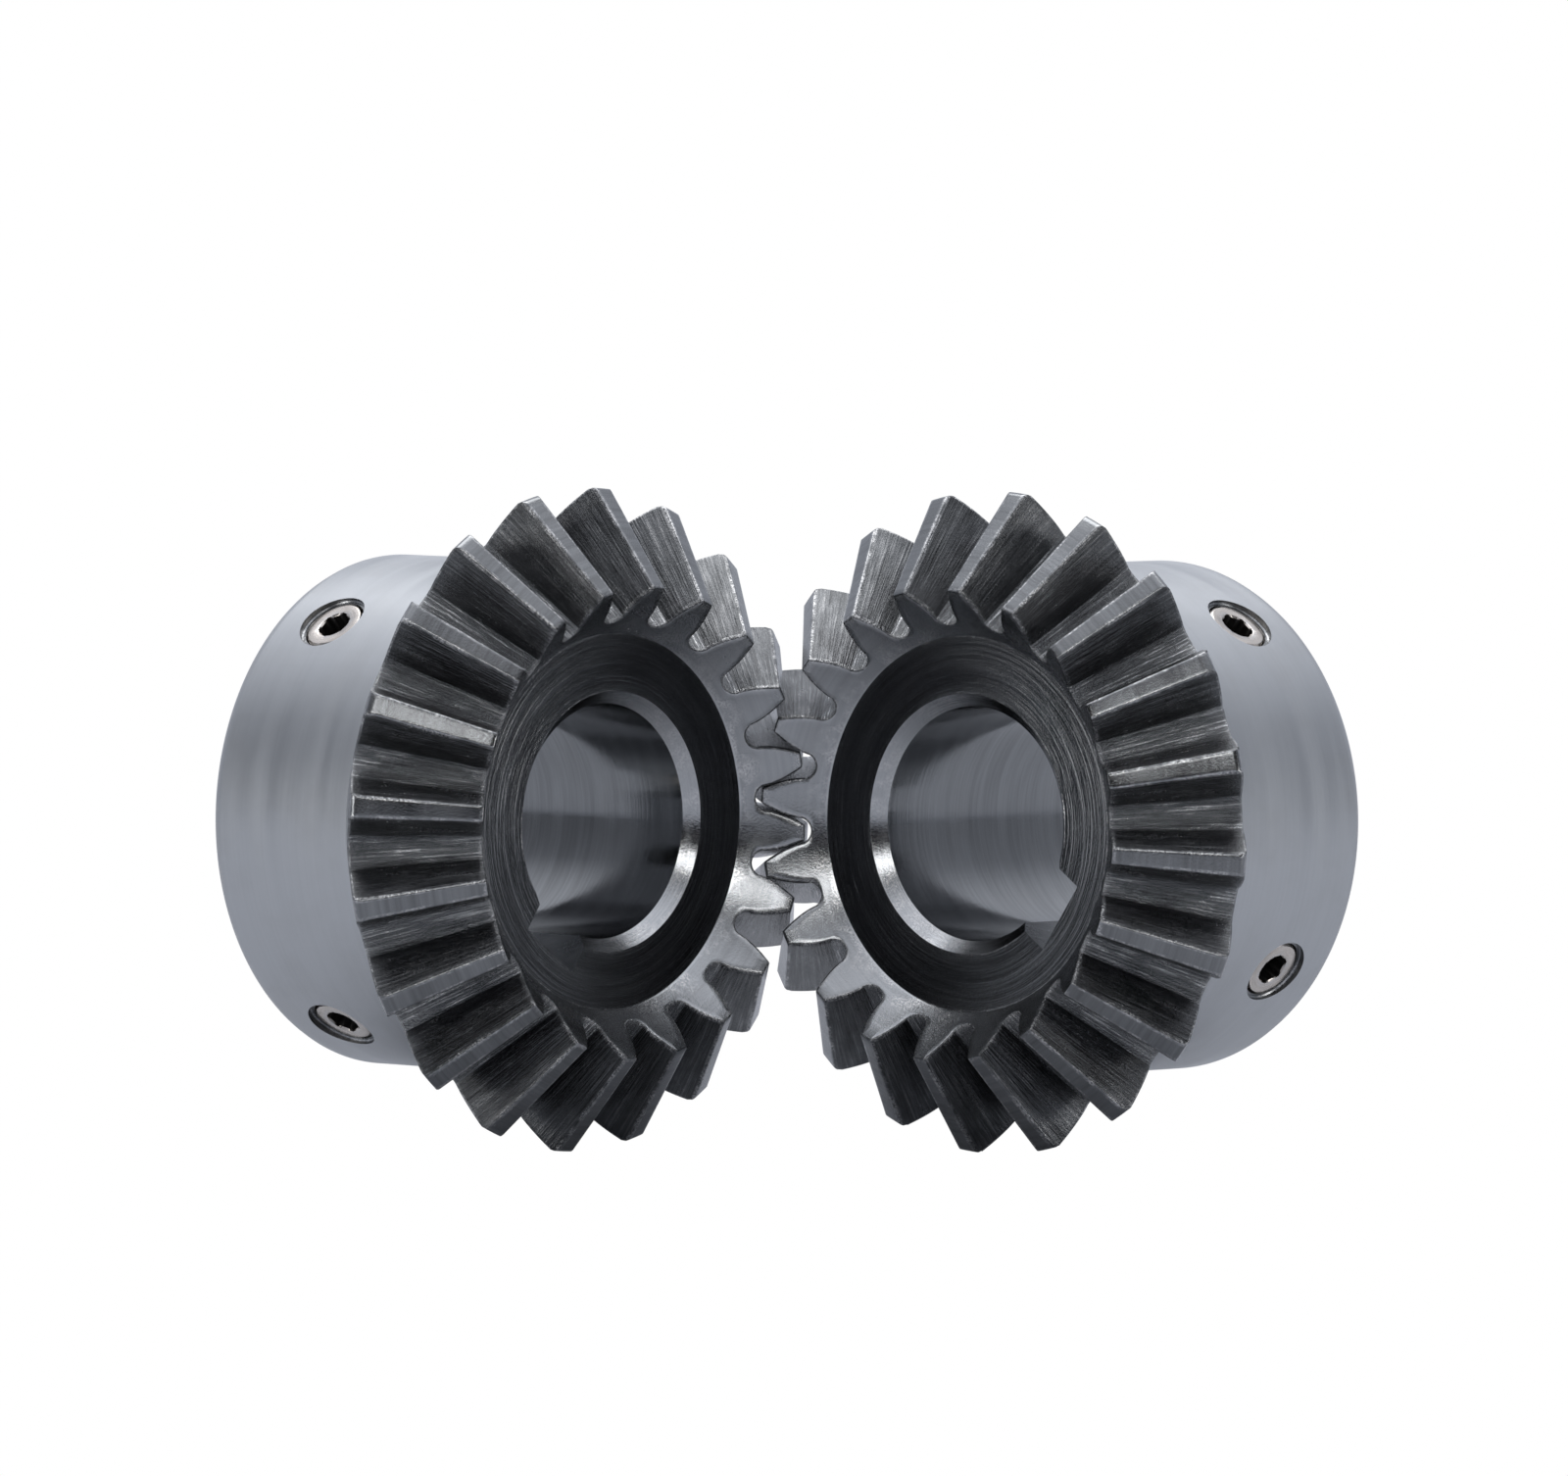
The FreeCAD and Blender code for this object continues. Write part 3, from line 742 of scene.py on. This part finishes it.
def make_camera():
    """The camera at the photograph's viewing angle."""
    data = bpy.data.cameras.new("camera")
    data.lens = LENS
    data.sensor_width = SENSOR
    data.clip_start, data.clip_end = 0.05, 50.0
    camera = bpy.data.objects.new("camera", data)
    bpy.context.scene.collection.objects.link(camera)
    camera.location = CAMERA_TARGET - toward(HEADING, -LOOK_DOWN) * CAMERA_DISTANCE
    aim(camera, CAMERA_TARGET, ROLL)
    bpy.context.scene.camera = camera


def make_light(name, direction, distance, size, power):
    """A rectangular soft light that faces the gears."""
    data = bpy.data.lights.new(name, "AREA")
    data.shape = "RECTANGLE"
    data.size, data.size_y = size
    data.energy = power
    light = bpy.data.objects.new(name, data)
    bpy.context.scene.collection.objects.link(light)
    light.location = CAMERA_TARGET + toward(*map(math.radians, direction)) * distance
    aim(light, CAMERA_TARGET)


def make_world():
    """White behind the gears. What they reflect is bright behind and above, and dark in front."""
    world = bpy.data.worlds.new("studio")
    bpy.context.scene.world = world
    g = Graph(world)
    outward = g.add("TexCoord").outputs["Generated"]
    ahead = g.add("VectorMath", {0: outward, 1: toward(HEADING, 0)}, operation="DOT_PRODUCT").outputs["Value"]
    up = g.add("SeparateXYZ", {0: outward}).outputs[2]
    behind = g.add("MapRange", {0: ahead, 1: -0.65, 2: 0.75}, interpolation_type="SMOOTHSTEP").outputs[0]
    above = g.add("MapRange", {0: up, 1: 0.45, 2: 0.95}, interpolation_type="SMOOTHSTEP").outputs[0]
    room = g.mix(above, g.mix(behind, ROOM_FRONT, ROOM_BACK), ROOM_ABOVE)
    reflected = g.add("Background", {"Color": room, "Strength": 1.0})
    seen = g.add("Background", {"Color": WHITE, "Strength": 1.0})
    path = g.add("LightPath")
    both = g.add("MixShader", {0: path.outputs["Is Camera Ray"], 1: reflected.outputs[0], 2: seen.outputs[0]})
    g.add("OutputWorld", {"Surface": both.outputs[0]})


def make_floor():
    """A plain floor under the lowest teeth, white to the camera and pale grey in reflections."""
    height = cad_box[0].z
    corners = [(x * FLOOR_HALF, y * FLOOR_HALF, height) for x, y in ((-1, -1), (1, -1), (1, 1), (-1, 1))]
    mesh = bpy.data.meshes.new("floor")
    mesh.from_pydata(corners, [], [(0, 1, 2, 3)])
    material = bpy.data.materials.new("pale_floor")
    g = Graph(material)
    path = g.add("LightPath")
    pale = g.add("BsdfDiffuse", {"Color": FLOOR_GREY})
    white = g.add("Emission", {"Color": WHITE, "Strength": 1.0})
    both = g.add("MixShader", {0: path.outputs["Is Camera Ray"], 1: pale.outputs[0], 2: white.outputs[0]})
    g.add("OutputMaterial", {"Surface": both.outputs[0]})
    mesh.materials.append(material)
    add_object("floor", mesh, Matrix.Identity(4))


# ---------------------------------------------------------------- the scene

gear_steels = make_steels(ZONES, GEAR_FINISHES)
screw_steels = make_steels(SCREW_ZONES, SCREW_FINISHES)
for side, gear in GEARS.items():
    make_gear(side, gear_steels)
    for kind in gear["screws"]:
        make_screw(side, kind, screw_steels)
make_datum(steel("bead_steel", **BEAD_FINISH))
make_camera()
make_world()
make_floor()
for name, light in LIGHTS.items():
    make_light(name, **light)
bpy.context.scene.view_settings.view_transform = "Standard"
